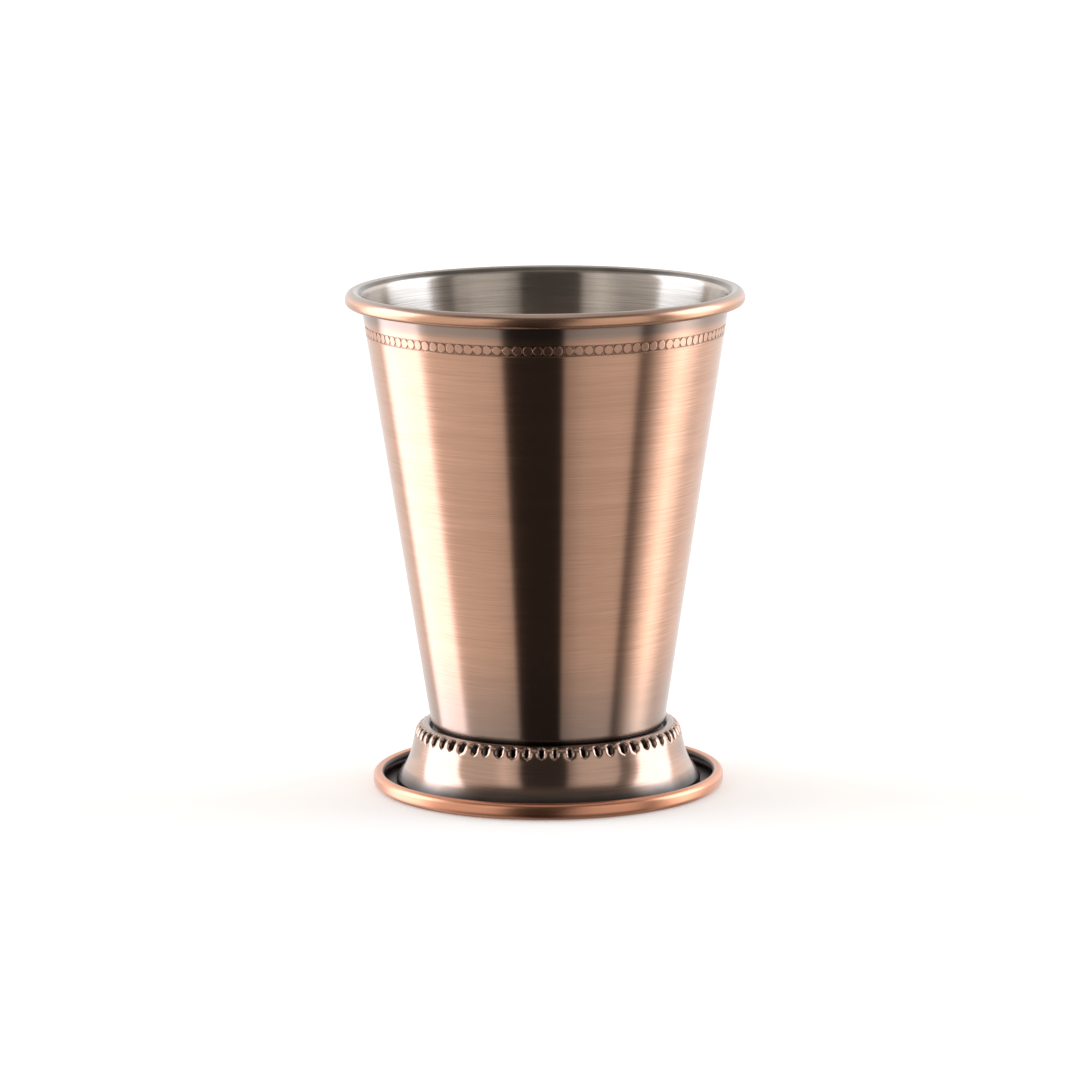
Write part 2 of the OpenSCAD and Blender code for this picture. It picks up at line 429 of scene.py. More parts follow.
def cup_recess(r, z):
    """Where the cup is darkened: painted shade under its bead, patina and painted shade under its rim and in
    the collar's mouth, and patina round the discs.
    """
    out = out_of_wall(r, z)
    if out < -CUP_T / 2:
        return 0
    if out > CUP_T / 2:
        # Painted shade on the bead's underside, below the middle of its lower curl
        tucked = ramp(TUCK_C[0] - r, -TUCK_REACH_SHARE * RIM_TUCK_R, RIM_TUCK_R)
        return TUCK_SHADE_SHARE * tucked if z < TUCK_C[1] else 0
    start, full = (share * BAND_DEPTH for share in STEP_STAIN_SHARES)
    sunk = GROUND_TARNISH_SHARE * ramp(-out, start, full)
    # Patina and painted shade where the wall goes down into the collar's mouth
    seated = 1 - ramp(z, FOOT_H - SEAT_REACH_SHARE * CUP_T, FOOT_H + CUP_T)
    # Patina and painted shade on the wall just under the bead
    shaded = ramp(z, RIM_TOP_Z - SHADE_DROP_SHARE * RIM_BEAD_H, RIM_TOP_Z - RIM_BEAD_H)
    return max(sunk, seated, SHADE_TARNISH_SHARE * shaded)


def cup_grey(r, z):
    """Where the cup is grey: painted shade on its bead's top, patina and painted shade under its rim, and on
    its lower wall, fading upwards.
    """
    out = out_of_wall(r, z)
    # Painted shade: the outer half of the bead's top turns grey
    if out > CUP_T / 2 and r > INNER_CREST_END:
        start, full = (RIM_TOP_Z - share * RIM_CREST_R for share in CREST_DROP_SHARES)
        return CREST_GREY_SHARE * ramp(z, start, full)
    if abs(out) > CUP_T / 2:
        return 0
    # Patina and painted shade: grey from the band up to the bead
    high = ramp(z, BAND_Z + BAND_HIGH, RIM_TOP_Z - HIGH_GREY_DROP_SHARE * RIM_BEAD_H)
    low = 1 - ramp(z, FOOT_H + CUP_T, FOOT_H + LOW_GREY_SHARE * GREY_FOOT_H)
    fading = FADING_GREY_SHARE * (1 - ramp(z, FOOT_H, FOOT_H + GREY_FOOT_H))
    return max(high, low, fading)


def wall_points(low, high):
    """Points up the wall's outer face, close enough for its patina to change between them."""
    heights = [low + (high - low) * i / WALL_RINGS for i in range(WALL_RINGS + 1)]
    return [(wall_r(z), z) for z in heights]


def cup_base(step):
    """The floor and its corner, from the axis to the wall."""
    return [(0, FLOOR_Z, -90)] + round_bend(CORNER_C, CORNER_R, -90, -WALL_DEG, step)


def cup_bead(step):
    """The rim's roll, from its crest to the lip under it, on the side of the sheet that faces inwards."""
    bead = hollow_bend((CREST_X, RIM_TOP_Z - RIM_CREST_R), RIM_CREST_R - CUP_T, 90, 0, step)[1:]
    bead += hollow_bend(TUCK_C, RIM_TUCK_R - CUP_T, 0, -90 - LIP_RISE_DEG, step)[1:]
    bead.append((TUCK_END[0] + CUP_T * math.sin(LIP_RAD) - LIP_RUN * math.cos(LIP_RAD),
                 TUCK_END[1] + CUP_T * math.cos(LIP_RAD) + LIP_RUN * math.sin(LIP_RAD),
                 90 - LIP_RISE_DEG))
    return bead


def cup_outline():
    """The shell's outline, from the outer face of its floor round the rim to the inner face.

    With it come the place of the gap for the discs, and where the bead's visible face and the inside begin.
    """
    base, inner_base = cup_base(BEND_STEP), cup_base(HIDDEN_BEND_STEP)
    bead, outer_bead = cup_bead(HIDDEN_BEND_STEP), cup_bead(BEND_STEP)
    crest = hollow_bend((CREST_X, RIM_TOP_Z - INNER_CREST_R), INNER_CREST_R - CUP_T, 180 - WALL_DEG, 90)
    below = wall_points(base[-1][1] + BAND_STEP_W, FOOT_H + GREY_FOOT_H)
    below += [on_wall(-BAND_LOW - BAND_SHINE_W, 0), on_wall(-BAND_LOW - BAND_STEP_W, 0),
              on_wall(-BAND_LOW, 0), on_wall(BAND_FLOOR_LOW, -BAND_DEPTH)]
    above = [on_wall(BAND_FLOOR_HIGH, -BAND_DEPTH), on_wall(BAND_HIGH, 0)]
    above += wall_points(on_wall(BAND_HIGH + BAND_STEP_W, 0)[1], crest[0][1] - CREST_MARGIN)
    outline = face_of(base) + below + above + face_of(crest + bead)
    gap = len(base) + len(below) - 1
    seam = len(outline)
    outline += list(reversed(back_of(inner_base + crest + outer_bead, CUP_T)))
    return outline, gap, seam, seam + len(outer_bead)


def cup_mesh(materials):
    """The whole shell of the cup, with its band of discs."""
    copper, steel, orange = range(len(materials))
    outline, gap, seam, steel_start = cup_outline()
    bm = patina_and_painted_light_mesh()
    rings = [ring_of(bm, r, z, DISC_COUNT * CELL_COLUMNS, -CELL_COLUMNS / 2) for r, z in outline]
    # A painted highlight along the band's lower edge: these rings are brightened and roughened as if worn
    for ring in rings[gap - 2:gap]:
        for vertex in ring:
            vertex[bm.verts.layers.float["worn_and_shine"]] = 1
    for i, (lower, upper) in enumerate(zip(rings, rings[1:])):
        if i != gap:
            join_rings(bm, lower, upper, steel if i >= steel_start else orange if i >= seam else copper)
    disc_band(bm, rings[gap], rings[gap + 1], random.Random(BAND_SEED))
    return finished(bm, "cup_shell", materials, cup_recess, cup_grey)


# Foot collar

NECK_START = polar(SHOULDER_C, SHOULDER_R, NECK_DEG)
SKIRT_END = polar(HEM_C, HEM_ROUND, FLARE_DEG)
SWEEP_KNEE = lean_crossing(NECK_START, NECK_DEG, SKIRT_END, FLARE_DEG)
SWEEP_C = polar(SWEEP_KNEE, SWEEP_R / math.cos(math.radians((FLARE_DEG - NECK_DEG) / 2)),
                (FLARE_DEG + NECK_DEG) / 2)


def rib_profile(share):
    """How much of a valley's depth is left at a share of the way to a crest: steep flanks, broad crest."""
    return (1 - share) ** RIB_ROUNDNESS


def rib_length_share(middle):
    """How much of its depth a valley has along its length, from -1 at its top to 1 at its foot."""
    if middle < 0:
        return ramp(middle, *RIB_TOP_RISE)
    return max(0, 1 - middle ** RIB_END_POWER)


def valley_share(along, across):
    """How much of its depth a valley has at a point: its ends are between round and pointed."""
    rest = along + across - 1
    pointed = (rest + math.hypot(rest, RIB_END_SOFT_SHARE * along)) / 2
    return (1 - RIB_POINT_SHARE) * along * across + RIB_POINT_SHARE * pointed


def lip_angle(x):
    """Where a radius meets the lip's round, in degrees."""
    return 90 + math.degrees(math.asin((LIP_C[0] - x) / LIP_R))


def collar_paths(step, neck_rings):
    """The upper and outer face, and the same face without its crease for the sheet's back."""
    crease_in, crease_out = CREASE_X - CREASE_W / 2, CREASE_X + CREASE_W / 2
    crease_z = FOOT_H - CREASE_DEPTH
    seat = [(FLANGE_R, FLOOR_Z, 90)]
    seat += hollow_bend((SLEEVE_R - HEEL_R, FLOOR_Z + HEEL_R), HEEL_R, -90, 0, HEEL_STEP)
    plain_lip = round_bend(LIP_C, LIP_R, 180, 90, PLAIN_LIP_STEP)
    creased_lip = round_bend(LIP_C, LIP_R, 180, lip_angle(crease_in), CREASED_LIP_STEP)
    creased_lip += [(crease_in, crease_z, 0), (crease_out, crease_z, 0)]
    creased_lip += round_bend(LIP_C, LIP_R, lip_angle(crease_out), 90, FINE_STEP)
    shoulder = round_bend(SHOULDER_C, SHOULDER_R, 90, NECK_DEG, step)
    sweep = [(r, z, a - 360) for r, z, a in
             hollow_bend(SWEEP_C, SWEEP_R, 180 + NECK_DEG, 180 + FLARE_DEG, step)]
    neck = []
    for i in range(1, neck_rings):
        t = (i / neck_rings) ** 2
        neck.append((NECK_START[0] + (sweep[0][0] - NECK_START[0]) * t,
                     NECK_START[1] + (sweep[0][1] - NECK_START[1]) * t, NECK_DEG))
    hem = round_bend(HEM_C, HEM_ROUND, FLARE_DEG, 0, step) + [(HEM_R, BASE_T, 0)]
    rest = shoulder + neck + sweep + hem
    return seat + creased_lip + rest, seat + plain_lip + rest


RIB_TOP_RUN = SHOULDER_R * math.radians(90 - RIB_TOP_DEG)
RIB_PITCH_RAD = 2 * math.pi / RIB_COUNT
RIB_CROWDING = 1.3
RIB_DEPTH_SWING_SHARE = 0.1
RIB_SIDE_SWING_SHARE = 0.05
RIB_SLANT_SWING_SHARE = 0.05


def rib_columns(chance):
    """For each column round the collar: its direction, its share of the way to a crest, and its valley."""
    half = RIB_COLUMNS // 2
    valleys = [(1 + chance.gauss(0, RIB_DEPTH_SWING_SHARE), chance.gauss(0, RIB_SIDE_SWING_SHARE),
                chance.gauss(0, RIB_SLANT_SWING_SHARE)) for _ in range(RIB_COUNT)]
    columns = []
    for i in range(RIB_COUNT):
        for k in range(-half, RIB_COLUMNS - half):
            share = abs(k / half) ** RIB_CROWDING
            side = math.copysign(share, k) / 2
            columns.append((i * RIB_PITCH_RAD, side, share, valleys[i]))
    return columns


# The collar's patina and painted shade: shares say how strong it is, or how far it reaches along the length
# they multiply
VALLEY_TARNISH_SHARE = 0.95
VALLEY_STAIN_SHARES = (0.12, 0.55)
GROOVE_TARNISH_SHARE = 0.4
CREST_WEAR_SHARE = 0.4
CREST_WEAR_START_SHARE = 0.7
MOUTH_STAIN_AND_SHADE_SHARES = (0.45, 0.2)
SKIRT_TARNISH_SHARE = 0.95
SKIRT_STAIN_LOW = 2.7
SKIRT_STAIN_HIGH = 4.68
SKIRT_GREY_SHARE = 0.45
SHOULDER_GREY_SHARE = 0.4
TOP_GREY_SHARE = 0.5


def groove_share(run):
    """How deep the groove along the ribs' upper ends is at a distance down the shoulder."""
    return max(0, 1 - ((run - RIB_TOP_RUN) / RIB_GROOVE_HALF) ** 2) ** 2


def stain_rib(bm, vertex, depth, groove, pressed, share):
    """Tarnish in the valleys and the groove, and wear on the crests between the valleys."""
    tarnish = VALLEY_TARNISH_SHARE * ramp(depth / VALLEY_DEPTH, *VALLEY_STAIN_SHARES)
    wear = CREST_WEAR_SHARE * pressed * ramp(share, CREST_WEAR_START_SHARE, 1)
    vertex[bm.verts.layers.float["recess"]] = max(tarnish, GROOVE_TARNISH_SHARE * groove)
    vertex[bm.verts.layers.float["worn_and_shine"]] = wear


def collar_rings(bm, path, sheet, columns):
    """A ring of vertices for each point of a path, less the sheet's thickness and the valleys' depth."""
    rings = []
    run, last = 0, None
    for r, z, normal_deg in path:
        if r > SHOULDER_C[0] + TINY:
            run += math.dist((r, z), last)
        last = (r, z)
        normal = math.radians(normal_deg)
        middle = 2 * (run - RIB_TOP_RUN) / RIB_LENGTH - 1
        pressed = rib_length_share(middle) if abs(middle) < 1 else 0
        groove = groove_share(run)
        ring = []
        for valley_at, side, share, (scale, shift, slant) in columns:
            depth = VALLEY_DEPTH * scale * valley_share(pressed, rib_profile(share))
            depth = max(depth, RIB_GROOVE_DEPTH * groove)
            lean = (shift + slant * min(max(middle, -1), 1) / 2) * (1 - share)
            a = valley_at + (side + lean) * RIB_PITCH_RAD
            reach = (r - (depth + sheet) * math.cos(normal)) * MM
            height = (z - (depth + sheet) * math.sin(normal)) * MM
            vertex = bm.verts.new((reach * math.cos(a), reach * math.sin(a), height))
            if not sheet:
                stain_rib(bm, vertex, depth, groove, pressed, share)
            ring.append(vertex)
        rings.append(ring)
    return rings


def collar_recess(r, z):
    """Where the collar is darkened: patina and painted shade in its mouth, and patina low on its skirt."""
    # Patina and painted shade in the collar's mouth, beside the cup's wall
    mouth = 1 - ramp(r, *(LIP_C[0] - share * LIP_R for share in MOUTH_STAIN_AND_SHADE_SHARES))
    skirt = 1 - ramp(z, BASE_T + SKIRT_STAIN_LOW, BASE_T + SKIRT_STAIN_HIGH)
    return max(mouth, SKIRT_TARNISH_SHARE * skirt)


def collar_grey(r, z):
    """Where the collar is grey, as painted shade: on the lower half of its skirt, and on its shoulder's top.
    """
    # Painted shade: the lower skirt and the shoulder's top turn grey
    low = 1 - ramp(z, BASE_T + HEM_H, SKIRT_GREY_SHARE * FOOT_H)
    top = ramp(z, FOOT_H - SHOULDER_GREY_SHARE * SHOULDER_R, FOOT_H)
    return max(low, TOP_GREY_SHARE * top)


def collar_mesh(materials):
    """The whole collar, as one closed loop of rings round its sheet."""
    bm = patina_and_painted_light_mesh()
    columns = rib_columns(random.Random(RIB_SEED))
    face, _ = collar_paths(FINE_STEP, NECK_RINGS)
    _, plain = collar_paths(HIDDEN_FINE_STEP, HIDDEN_NECK_RINGS)
    rings = collar_rings(bm, face, 0, columns)
    rings += list(reversed(collar_rings(bm, plain, COLLAR_T, columns)))
    for lower, upper in zip(rings, rings[1:] + rings[:1]):
        join_rings(bm, lower, upper)
    return finished(bm, "ribbed_collar", materials, collar_recess, collar_grey)


# Base ring

# Where on the curl the tarnish of the trough begins and is full, as directions from the curl's middle
TROUGH_STAIN_DEG = (105.0, 150.0)


def base_mesh(materials):
    """The whole base ring, black in its trough and on its hidden face."""
    bm = patina_and_painted_light_mesh()
    path = [(BASE_IN_R, 0, -90)]
    path += round_bend(BASE_CORNER_C, BASE_CORNER_R, -90, 0)
    path += round_bend(CURL_C, CURL_R, 0, 180)
    face = [(r, z, ramp(a, *TROUGH_STAIN_DEG)) for r, z, a in path]
    back = [(r, z, 1) for r, z in reversed(back_of(path, BASE_T))]
    rings = []
    for r, z, tarnish in face + back:
        rings.append(ring_of(bm, r, z, BASE_COLUMNS))
        for vertex in rings[-1]:
            vertex[bm.verts.layers.float["recess"]] = tarnish
    for lower, upper in zip(rings, rings[1:] + rings[:1]):
        join_rings(bm, lower, upper)
    return finished(bm, "rolled_base", materials, nothing, nothing)


# Materials

def add(tree, kind, inputs=None, **settings):
    """A node with its settings and its inputs, each a socket to link or a value to set."""
    node = tree.nodes.new(kind)
    for key, value in settings.items():
        setattr(node, key, value)
    for key, value in (inputs or {}).items():
        if isinstance(value, bpy.types.NodeSocket):
            tree.links.new(value, node.inputs[key])
        else:
            node.inputs[key].default_value = value
    return node


def calc(tree, operation, first, second=0.0):
    """A calculation with two values, by its name in the Math node."""
    return add(tree, "ShaderNodeMath", {0: first, 1: second}, operation=operation).outputs[0]


def weighted(tree, first, second, share):
    """A share of the first value and the rest of the second."""
    rest = calc(tree, "MULTIPLY", second, 1 - share)
    return calc(tree, "ADD", calc(tree, "MULTIPLY", first, share), rest)


def blend_colours(tree, amount, first, second):
    """From the first colour at 0 to the second at 1."""
    node = add(tree, "ShaderNodeMix", {0: amount, 6: first, 7: second}, data_type="RGBA")
    return node.outputs[2]


def move_colour(tree, amount, share, colour, towards):
    """The colour, moved towards another by a share of an amount."""
    return blend_colours(tree, calc(tree, "MULTIPLY", amount, share), colour, towards)


def spread(tree, value, low, high, to_low=0.0, to_high=1.0):
    """A value's way from low to high, eased at both ends."""
    node = add(tree, "ShaderNodeMapRange", {0: value, 1: low, 2: high, 3: to_low, 4: to_high},
               interpolation_type="SMOOTHSTEP")
    return node.outputs[0]


def new_material(name):
    """An empty node material and its tree."""
    material = bpy.data.materials.new(name)
    material.use_nodes = True
    material.node_tree.nodes.clear()
    return material, material.node_tree


def object_place(tree):
    """Where a point lies in its object, in metres."""
    return add(tree, "ShaderNodeTexCoord").outputs["Object"]


def round_axis(tree, turns, rows):
    """A vector that changes slowly round the Z axis and by so many rows in a millimetre up it."""
    parts = add(tree, "ShaderNodeSeparateXYZ", {0: object_place(tree)}).outputs
    flat = add(tree, "ShaderNodeCombineXYZ", {0: parts[0], 1: parts[1]}).outputs[0]
    facing = add(tree, "ShaderNodeVectorMath", {0: flat}, operation="NORMALIZE").outputs[0]
    slow = add(tree, "ShaderNodeVectorMath", {0: facing, "Scale": turns}, operation="SCALE").outputs[0]
    parts_slow = add(tree, "ShaderNodeSeparateXYZ", {0: slow}).outputs
    fast = calc(tree, "MULTIPLY", parts[2], rows / MM)
    return add(tree, "ShaderNodeCombineXYZ", {0: parts_slow[0], 1: parts_slow[1], 2: fast}).outputs[0]


# How strong a noise's finer layers are, plain or broken up
PLAIN_SHARE = 0.5
BROKEN_SHARE = 0.6


def noise(tree, vector, scale, detail, rough=PLAIN_SHARE):
    """Noise from about 0 to 1: its scale, its count of finer layers, and how strong these are."""
    return add(tree, "ShaderNodeTexNoise", {"Vector": vector, "Scale": scale, "Detail": detail,
                                            "Roughness": rough}, noise_dimensions="3D").outputs[0]


def vertex_value(tree, label):
    """One of the values that the vertices hold, for patina, wear, painted shade and a painted highlight."""
    return add(tree, "ShaderNodeAttribute", attribute_name=label).outputs["Fac"]


# The brushing's layers: how much each changes round the cup, its rows in a millimetre, its finer layers
HAIR_TURNS, HAIR_ROWS, HAIR_DETAIL = 3.0, 9.0, 1.0
LINE_TURNS, LINE_ROWS, LINE_DETAIL = 2.0, 4.8, 2.0
TONE_TURNS, TONE_ROWS, TONE_DETAIL = 0.7, 0.45, 1.0
CLOUD_ROWS, CLOUD_DETAIL = 0.15, 4.0

# How much of the brushing is hair and of the tone brushing, how deep it is, and which way it runs
HAIR_SHARE = 0.55
BRUSHING_SHARE = 0.82
BRUSHING_DEPTH = 0.01
BRUSHED_TURN_SHARE = 0.25

# How far clouds, grey (with painted shade), wear (with a painted highlight) and tarnish (with painted shade)
# move a colour, and between which values clouds and tarnish grow
TONE_MIDDLE = 0.5
CLOUD_SPREAD = (0.4, 0.7)
CLOUD_SHARE = 0.15
GREY_SHARE = 0.85
WEAR_AND_SHINE_SHARE = 0.7
STAIN_AND_SHADE_SPREAD = (0.2, 1.05)
STAIN_CLOUD_SHARE = 0.24
STAIN_AND_SHADE_SHARE = 0.95

# How much rougher the brushing, the tarnish and the wear make the metal, and its lacquer
BRUSHING_ROUGHNESS = 0.1
STAIN_ROUGHNESS = 0.15
WEAR_ROUGHNESS = 0.3
COAT_ROUGHNESS = 0.12
COAT_IOR = 1.5

# The plain grey and black of the patina and of the painted shade, and each metal's own colours and finish
COPPER_GREY = (0.29, 0.23, 0.195, 1)
TARNISH_AND_SHADE = (0.028, 0.024, 0.022, 1)
STEEL_DULL = (0.33, 0.28, 0.236, 1)
WALL_FINISH = {
    "bright": (0.68, 0.385, 0.262, 1), "dull": (0.56, 0.315, 0.208, 1), "grey_tone": COPPER_GREY,
    "roughness": 0.2, "anisotropy": 1.0, "relief": 0.28, "coat": 0.15, "grain": 0.28}
FOOT_FINISH = {
    "bright": (0.44, 0.272, 0.2, 1), "dull": (0.34, 0.213, 0.158, 1), "grey_tone": COPPER_GREY,
    "roughness": 0.16, "anisotropy": 0.6, "relief": 0.1, "coat": 0.1, "grain": 0.35}
RIM_FINISH = {
    "bright": (0.6, 0.325, 0.203, 1), "dull": (0.49, 0.265, 0.166, 1), "grey_tone": COPPER_GREY,
    "roughness": 0.26, "anisotropy": 0.4, "relief": 0.1, "coat": 0.1, "grain": 0.5}
BASE_FINISH = {
    "bright": (0.68, 0.30, 0.175, 1), "dull": (0.57, 0.25, 0.145, 1), "grey_tone": COPPER_GREY,
    "roughness": 0.3, "anisotropy": 0.4, "relief": 0.1, "coat": 0.1, "grain": 0.5}
STEEL_FINISH = {
    "bright": (0.46, 0.395, 0.34, 1), "dull": STEEL_DULL, "grey_tone": STEEL_DULL,
    "roughness": 0.22, "anisotropy": 1.0, "relief": 0.35, "coat": 0.0, "grain": 0.26}


def brushed_metal(name, bright, dull, grey_tone, roughness, anisotropy, relief, coat, grain):
    """Metal brushed round the Z axis: long fine lines, slow changes of tone, patina, painted shade and a
    painted highlight.
    """
    material, tree = new_material(name)
    hair = noise(tree, round_axis(tree, HAIR_TURNS, HAIR_ROWS), 1, HAIR_DETAIL)
    lines = noise(tree, round_axis(tree, LINE_TURNS, LINE_ROWS), 1, LINE_DETAIL, BROKEN_SHARE)
    slow_tone = noise(tree, round_axis(tree, TONE_TURNS, TONE_ROWS), 1, TONE_DETAIL)
    cloud = noise(tree, object_place(tree), CLOUD_ROWS / MM, CLOUD_DETAIL, BROKEN_SHARE)
    # The worn value also holds a painted highlight, and the tarnish darkens with painted shade as well as
    # patina
    wear = vertex_value(tree, "worn_and_shine")
    stain_and_shade = calc(tree, "ADD", vertex_value(tree, "recess"), calc(tree, "MULTIPLY", cloud, STAIN_CLOUD_SHARE))
    stain_and_shade = spread(tree, stain_and_shade, *STAIN_AND_SHADE_SPREAD)

    brushing = weighted(tree, hair, lines, HAIR_SHARE)
    tone = weighted(tree, brushing, slow_tone, BRUSHING_SHARE)
    tone = spread(tree, tone, TONE_MIDDLE - grain / 2, TONE_MIDDLE + grain / 2)
    colour = blend_colours(tree, tone, dull, bright)
    colour = move_colour(tree, spread(tree, cloud, *CLOUD_SPREAD), CLOUD_SHARE, colour, dull)
    colour = move_colour(tree, vertex_value(tree, "grey"), GREY_SHARE, colour, grey_tone)
    colour = move_colour(tree, wear, WEAR_AND_SHINE_SHARE, colour, bright)
    colour = move_colour(tree, stain_and_shade, STAIN_AND_SHADE_SHARE, colour, TARNISH_AND_SHADE)

    rough = roughness - BRUSHING_ROUGHNESS / 2
    changes = ((brushing, BRUSHING_ROUGHNESS), (stain_and_shade, STAIN_ROUGHNESS), (wear, WEAR_ROUGHNESS))
    for amount, change in changes:
        rough = calc(tree, "ADD", calc(tree, "MULTIPLY", amount, change), rough)
    bump = add(tree, "ShaderNodeBump", {
        "Strength": relief, "Distance": BRUSHING_DEPTH * MM, "Height": brushing})
    around = add(tree, "ShaderNodeTangent", direction_type="RADIAL", axis="Z")
    shader = add(tree, "ShaderNodeBsdfPrincipled", {
        "Base Color": colour, "Metallic": 1.0, "Roughness": rough, "Anisotropic": anisotropy,
        "Anisotropic Rotation": BRUSHED_TURN_SHARE, "Tangent": around.outputs[0], "Normal": bump.outputs[0],
        "Coat Weight": coat, "Coat Roughness": COAT_ROUGHNESS, "Coat IOR": COAT_IOR})
    add(tree, "ShaderNodeOutputMaterial", {"Surface": shader.outputs[0]})
    return material


# The brazing metal: its colours, its ripples and spots in a millimetre, and its finish
BRAZE_BRIGHT = (0.62, 0.5, 0.3, 1)
BRAZE_SPOTTED = (0.34, 0.25, 0.14, 1)
RIPPLE_ROWS, RIPPLE_DETAIL = 0.9, 4.0
SPOT_ROWS, SPOT_DETAIL = 2.5, 2.0
SPOT_SPREAD = (0.45, 0.7)
SPOT_ROUGHNESS = 0.2
BRAZE_ROUGHNESS = 0.38
BRAZE_RELIEF = 0.5
RIPPLE_DEPTH = 0.08


def braze_metal():
    """Dull brazing metal as it flowed, with soft ripples and darker spots."""
    material, tree = new_material("braze_metal")
    place = object_place(tree)
    ripple = noise(tree, place, RIPPLE_ROWS / MM, RIPPLE_DETAIL)
    spots = spread(tree, noise(tree, place, SPOT_ROWS / MM, SPOT_DETAIL), *SPOT_SPREAD)
    colour = blend_colours(tree, spots, BRAZE_BRIGHT, BRAZE_SPOTTED)
    rough = calc(tree, "ADD", calc(tree, "MULTIPLY", spots, SPOT_ROUGHNESS), BRAZE_ROUGHNESS)
    bump = add(tree, "ShaderNodeBump", {
        "Strength": BRAZE_RELIEF, "Distance": RIPPLE_DEPTH * MM, "Height": ripple})
    shader = add(tree, "ShaderNodeBsdfPrincipled", {
        "Base Color": colour, "Metallic": 1.0, "Roughness": rough, "Normal": bump.outputs[0]})
    add(tree, "ShaderNodeOutputMaterial", {"Surface": shader.outputs[0]})
    return material


wall_copper = brushed_metal("wall_copper", **WALL_FINISH)
foot_copper = brushed_metal("foot_copper", **FOOT_FINISH)
rim_copper = brushed_metal("rim_copper", **RIM_FINISH)
base_copper = brushed_metal("base_copper", **BASE_FINISH)
inner_steel = brushed_metal("inner_steel", **STEEL_FINISH)

cup_shell = cup_mesh([wall_copper, inner_steel, rim_copper])
ribbed_collar = collar_mesh([foot_copper])
rolled_base = base_mesh([base_copper])
for piece, node in ((cup_shell, "cup_body"), (ribbed_collar, "foot_collar"), (rolled_base, "base_ring")):
    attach(piece, "root")
    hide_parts(node)

braze = braze_metal()
for node in ("seat_braze", "base_braze"):
    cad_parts[node].material_slots[0].material = braze


# Studio, in metres

WHITE = (1, 1, 1, 1)
FLOOR_HALF = 6.0
FLOOR_COLOUR = (0.9, 0.856, 0.805, 1)
FLOOR_ROUGHNESS = 0.9
FLOOR_GLOW = 0.22

# How bright the studio is at each direction round the cup, in degrees to the right of the camera's side,
# low down and higher up. The highest levels are softboxes and the lowest a dark card. The white that the
# camera sees is 1.
STUDIO_LOW = [
    (-180, 1.0), (-140, 1.0), (-134, 0.9), (-129, 3.15), (-91, 3.15), (-88.5, 1.04), (-60, 1.04),
    (-46, 0.98), (-36, 0.88), (-30.5, 0.75), (-27.5, 0.035), (11, 0.035), (14, 0.6), (23, 0.76),
    (30, 0.87), (50, 0.94), (62.5, 0.92), (66.5, 0.2), (71, 0.2), (75.5, 0.42), (85, 1.1),
    (93, 1.8), (99, 2.4), (103, 2.4), (111, 1.75), (121, 1.0), (135, 1.05), (180, 1.0),
]
STUDIO_HIGH = [
    (-180, 1.0), (-140, 1.6), (-124, 1.8), (-121, 4.4), (-83, 4.4), (-79.5, 1.15), (-62, 1.03),
    (-48, 1.03), (-38, 1.4), (-26.5, 0.9), (-23, 0.065), (15, 0.065), (18, 0.5), (27, 0.98),
    (37, 1.07), (50, 1.08), (61, 1.0), (64.5, 0.36), (71.5, 0.36), (79, 1.1), (84, 4.2),
    (118, 4.2), (124, 1.8), (140, 1.6), (180, 1.0),
]

# The level that a full colour of the ring stands for, the level that only softboxes pass, and the tints
BRIGHTEST = 5.5
SOFTBOX_LEVEL = 3.0
LOW_TINT = (0.95, 0.97, 1.08)
HIGH_TINT = (0.94, 1.06, 1.22)
PLAIN_TINT = (1, 1, 1)

# Where on the ring, from its start behind the cup, the camera's side lies
CAMERA_SIDE_SHARE = 0.5

# Between which heights over the horizon the low levels give way to the high ones, and the ground darkens
RAISED_DEG = (-10.0, 2.0)
GROUND_DEG = (-45.0, -18.0)
GROUND_SHARE = 0.3

# The dark panel overhead, whose edge curves down at the sides: where on a sphere of radius 1 it begins and
# is full, where it changes from its front level to its rear one, and its level for diffuse light
CAP_SIDE_SHARE = 0.1
CAP_EDGE = (0.57, 0.75)
CAP_REACH = (-0.35, 0.3)
CAP_FRONT = 0.15
CAP_REAR = 0.85
CAP_FILL = 0.5

# The opening in the panel, straight overhead
CEILING_EDGE = (0.88, 0.94)
CEILING = 0.9


def studio_ring(tree, turn_share, levels, softbox_tint):
    """The studio's brightness round the cup, as a colour that is cooler in the softboxes."""
    ring = add(tree, "ShaderNodeValToRGB", {0: turn_share})
    stops = ring.color_ramp.elements
    for i, (degrees, level) in enumerate(levels):
        place = degrees / 360 + CAMERA_SIDE_SHARE
        stop = stops[i] if i < 2 else stops.new(place)
        stop.position = place
        tint = softbox_tint if level > SOFTBOX_LEVEL else PLAIN_TINT
        stop.color = (*(level * share / BRIGHTEST for share in tint), 1)
    return ring.outputs[0]


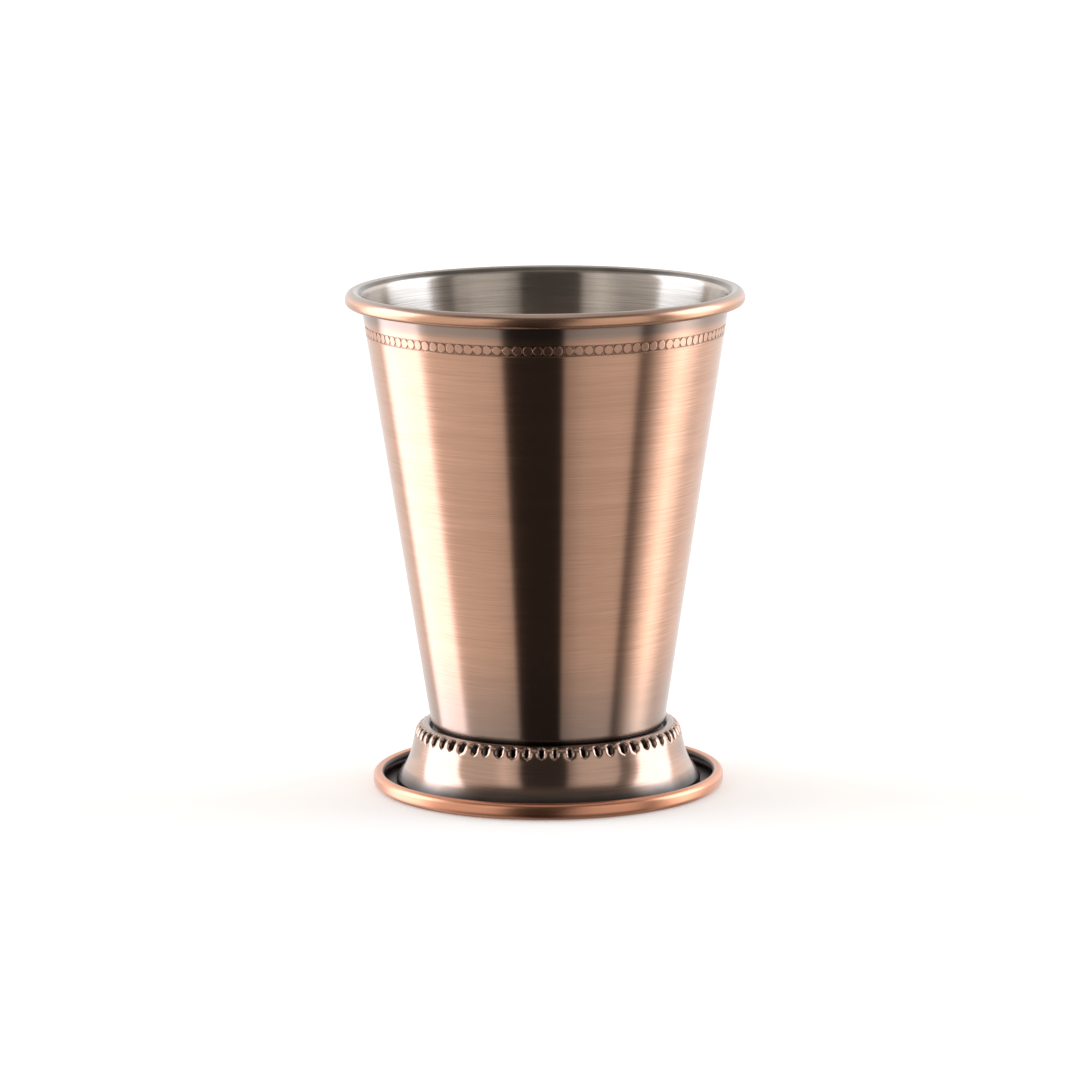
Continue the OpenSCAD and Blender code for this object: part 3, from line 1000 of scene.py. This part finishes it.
def studio_floor():
    """Pale paper that keeps the cup's shadow and glows a little for the camera alone."""
    mesh = bpy.data.meshes.new("studio_floor")
    corners = [(-FLOOR_HALF, -FLOOR_HALF, 0), (FLOOR_HALF, -FLOOR_HALF, 0),
               (FLOOR_HALF, FLOOR_HALF, 0), (-FLOOR_HALF, FLOOR_HALF, 0)]
    mesh.from_pydata(corners, [], [(0, 1, 2, 3)])
    floor = bpy.data.objects.new("studio_floor", mesh)
    bpy.context.scene.collection.objects.link(floor)
    material, tree = new_material("floor_paper")
    seen = add(tree, "ShaderNodeLightPath").outputs["Is Camera Ray"]
    glow = calc(tree, "MULTIPLY", seen, FLOOR_GLOW)
    shader = add(tree, "ShaderNodeBsdfPrincipled", {
        "Base Color": FLOOR_COLOUR, "Roughness": FLOOR_ROUGHNESS, "Specular IOR Level": 0.0,
        "Emission Color": WHITE, "Emission Strength": glow})
    add(tree, "ShaderNodeOutputMaterial", {"Surface": shader.outputs[0]})
    mesh.materials.append(material)
    floor.visible_glossy = False


def rises(angles):
    """How high directions at some angles over the horizon reach on a sphere of radius 1."""
    return [math.sin(math.radians(angle)) for angle in angles]


def studio_walls(tree, x, y, z):
    """The walls all round: softboxes, grey and a dark card, darker towards the ground."""
    azimuth = calc(tree, "ARCTAN2", x, calc(tree, "MULTIPLY", y, -1.0))
    turn_share = calc(tree, "ADD", calc(tree, "DIVIDE", azimuth, 2 * math.pi), CAMERA_SIDE_SHARE)
    around = blend_colours(tree, spread(tree, z, *rises(RAISED_DEG)),
                           studio_ring(tree, turn_share, STUDIO_LOW, LOW_TINT),
                           studio_ring(tree, turn_share, STUDIO_HIGH, HIGH_TINT))
    ground = spread(tree, z, *rises(GROUND_DEG), GROUND_SHARE, 1.0)
    strength = calc(tree, "MULTIPLY", ground, BRIGHTEST)
    return add(tree, "ShaderNodeVectorMath", {0: around, "Scale": strength}, operation="SCALE").outputs[0]


def overhead_panel(tree, y, z, diffuse):
    """The dark panel's colour: paler to the rear, in its opening and for diffuse light."""
    panel = spread(tree, y, *CAP_REACH, CAP_FRONT, CAP_REAR)
    panel = calc(tree, "MAXIMUM", panel, spread(tree, z, *CEILING_EDGE, 0.0, CEILING))
    panel = calc(tree, "MAXIMUM", panel, calc(tree, "MULTIPLY", diffuse, CAP_FILL))
    return add(tree, "ShaderNodeCombineColor", {0: panel, 1: panel, 2: panel}).outputs[0]


def studio_world():
    """Plain white to the camera; walls with softboxes and an overhead panel to everything else."""
    world = bpy.data.worlds.new("studio")
    world.use_nodes = True
    tree = world.node_tree
    tree.nodes.clear()
    direction = add(tree, "ShaderNodeTexCoord").outputs["Generated"]
    x, y, z = add(tree, "ShaderNodeSeparateXYZ", {0: direction}).outputs
    rays = add(tree, "ShaderNodeLightPath").outputs
    side = calc(tree, "MULTIPLY", calc(tree, "ABSOLUTE", x), CAP_SIDE_SHARE)
    capped = spread(tree, calc(tree, "ADD", z, side), *CAP_EDGE)
    room = blend_colours(tree, capped, studio_walls(tree, x, y, z),
                         overhead_panel(tree, y, z, rays["Is Diffuse Ray"]))
    seen = blend_colours(tree, rays["Is Camera Ray"], room, WHITE)
    light = add(tree, "ShaderNodeBackground", {"Color": seen, "Strength": 1.0})
    add(tree, "ShaderNodeOutputWorld", {"Surface": light.outputs[0]})
    bpy.context.scene.world = world


# The camera, fitted to the photograph: its place, its aim and how far it sees in metres, its lens and sensor
# in millimetres, and its roll in radians
EYE = Vector((0.0, -1.248, 0.273))
AIM = Vector((-0.00153, 0.0, 0.05637))
LENS = 186.26
SENSOR = 36.0
ROLL = -0.0072
VIEW_DEPTH = 24.0


def photo_camera():
    """The camera where the photograph was taken from, turned by its roll."""
    data = bpy.data.cameras.new("photo_camera")
    data.lens = LENS
    data.sensor_width = SENSOR
    data.clip_end = VIEW_DEPTH
    camera = bpy.data.objects.new("photo_camera", data)
    bpy.context.scene.collection.objects.link(camera)
    ahead = (AIM - EYE).normalized()
    right = ahead.cross(Vector((0, 0, 1))).normalized()
    up = right.cross(ahead)
    tilted_right = math.cos(ROLL) * right + math.sin(ROLL) * up
    tilted_up = -math.sin(ROLL) * right + math.cos(ROLL) * up
    turned = Matrix((tilted_right, tilted_up, -ahead)).transposed().to_4x4()
    camera.matrix_world = Matrix.Translation(EYE) @ turned
    bpy.context.scene.camera = camera


studio_floor()
studio_world()
photo_camera()
bpy.context.scene.view_settings.view_transform = "Standard"
